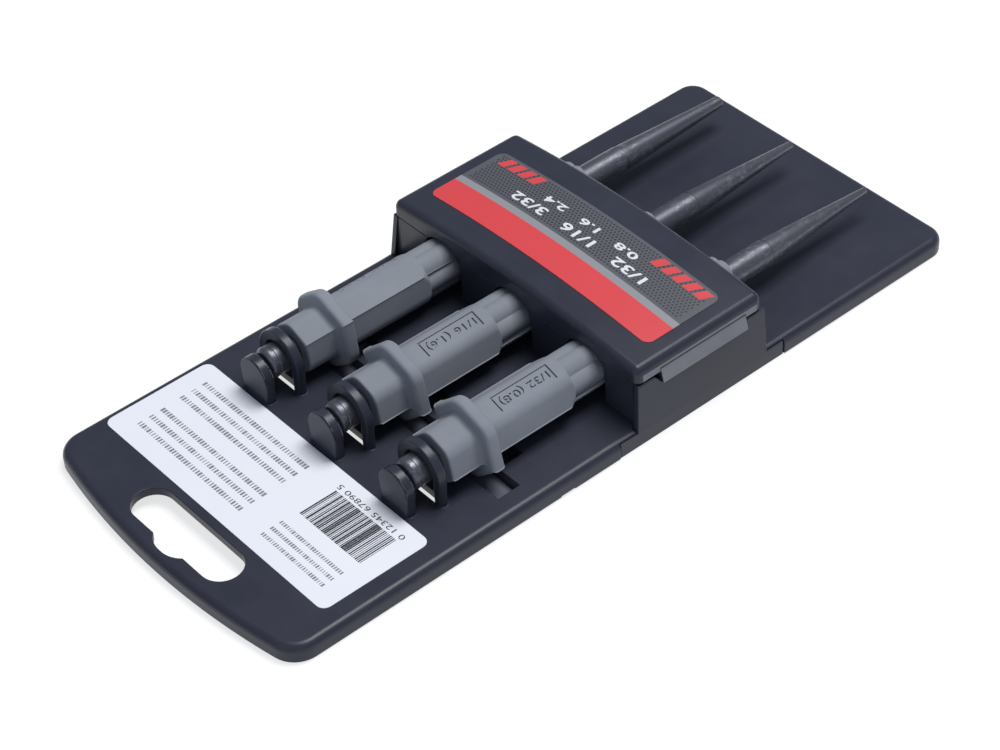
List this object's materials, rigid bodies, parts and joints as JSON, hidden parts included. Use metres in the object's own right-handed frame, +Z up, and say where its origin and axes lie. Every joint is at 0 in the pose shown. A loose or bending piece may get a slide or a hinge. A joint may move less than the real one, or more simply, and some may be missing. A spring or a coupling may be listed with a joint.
{
  "type": "nail setter set",
  "caption": "Nail setters with hexagonal flanged grips lying in a black moulded hanging holder with hoops, end stops and a lidded bridge; each setter slides forward out of its hoop.",
  "frame": {"origin": "on the table under the middle of the tray's outline", "axes": "+Y along the punches towards their tips, +Z up from the table, +X across the tray to the finest punch"},
  "size_m": [0.09, 0.208, 0.024],
  "materials": {
    "holder_plastic": "fine grained black moulding",
    "lid_print": "printed film sticker",
    "white_paper": "white coated paper sticker",
    "dark_steel": "blackened steel",
    "grip_grey": "satin grey moulded grip"
  },
  "bodies": {
    "holder": {"holder_tray": "holder_plastic", "bridge_frame": "holder_plastic", "bridge_lid": "holder_plastic", "lid_label": "lid_print", "tray_label": "white_paper"},
    "setter_3_32": {"punch_3_32": "dark_steel", "grip_3_32": "grip_grey"},
    "setter_1_16": {"punch_1_16": "dark_steel", "grip_1_16": "grip_grey"},
    "setter_1_32": {"punch_1_32": "dark_steel", "grip_1_32": "grip_grey"}
  },
  "joints": [
    {"name": "slide_3_32", "type": "slide", "parent": "holder", "child": "setter_3_32", "axis": [0, 1, 0], "range_m": [0, 0.008]},
    {"name": "slide_1_16", "type": "slide", "parent": "holder", "child": "setter_1_16", "axis": [0, 1, 0], "range_m": [0, 0.008]},
    {"name": "slide_1_32", "type": "slide", "parent": "holder", "child": "setter_1_32", "axis": [0, 1, 0], "range_m": [0, 0.008]}
  ]
}
